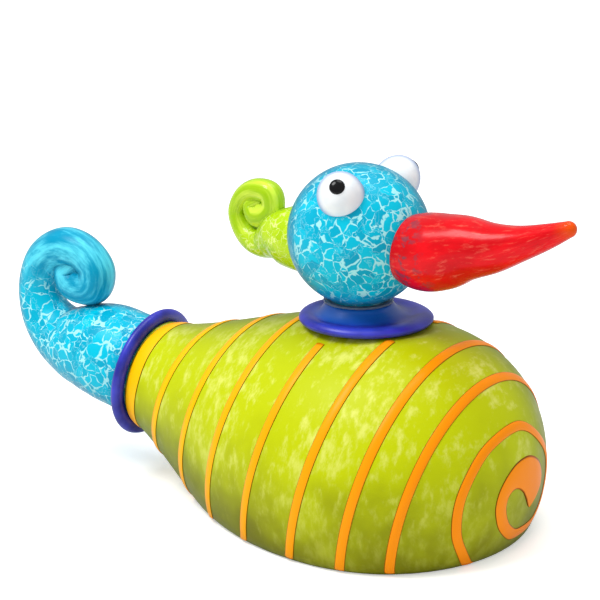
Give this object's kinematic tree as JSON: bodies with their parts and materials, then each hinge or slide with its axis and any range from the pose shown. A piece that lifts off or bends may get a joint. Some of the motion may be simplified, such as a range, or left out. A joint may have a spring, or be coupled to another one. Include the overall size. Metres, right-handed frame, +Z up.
{
  "type": "glass bird figure",
  "caption": "Hollow blown-glass bird with a flat base, a spiral trail, a curled tail, and a lift-off head with beak, crest and eyes that turns in a dished neck collar.",
  "frame": {"origin": "on the flat ground base, straight under the neck's axis", "axes": "+X forward, the way the bird looks; +Z up; +Y to the bird's left"},
  "size_m": [0.4645, 0.2188, 0.2503],
  "materials": {
    "green_glass": "satin opaque green glass mottled with pale yellow-white clouds",
    "orange_trail_glass": "satin opaque orange to yellow laid-on glass thread",
    "turquoise_glass": "satin turquoise glass with close frit spots and pale veins",
    "cobalt_glass": "satin cobalt blue glass",
    "red_glass": "glossy red glass with fine streaks and a clear orange tip",
    "lime_glass": "glossy lime glass with pale streaks",
    "white_glass": "satin opaque white glass",
    "black_glass": "gloss black glass",
    "clear_silicone": "clear soft silicone"
  },
  "bodies": {
    "root": {"body_shell": "green_glass", "trail_strip_01": "orange_trail_glass", "trail_strip_02": "orange_trail_glass", "trail_strip_03": "orange_trail_glass", "trail_strip_04": "orange_trail_glass", "trail_strip_05": "orange_trail_glass", "trail_strip_06": "orange_trail_glass", "trail_strip_07": "orange_trail_glass", "trail_strip_08": "orange_trail_glass", "trail_strip_09": "orange_trail_glass", "trail_strip_10": "orange_trail_glass", "trail_strip_11": "orange_trail_glass", "tail_collar": "cobalt_glass", "tail_curl": "turquoise_glass", "tail_sleeve": "clear_silicone", "neck_collar": "cobalt_glass"},
    "sleeve": {"neck_sleeve": "clear_silicone"},
    "head": {"head_shell": "turquoise_glass", "beak": "red_glass", "crest_curl": "lime_glass", "right_eye_white": "white_glass", "left_eye_white": "white_glass", "right_pupil": "black_glass", "left_pupil": "black_glass"}
  },
  "joints": [
    {"name": "head_lift", "type": "slide", "parent": "root", "child": "sleeve", "axis": [0, 0, 1], "range_m": [0, 0.045]},
    {"name": "head_turn", "type": "hinge", "parent": "sleeve", "child": "head", "pos_m": [0, 0, 0.155], "axis": [0, 0, 1], "continuous": true}
  ]
}
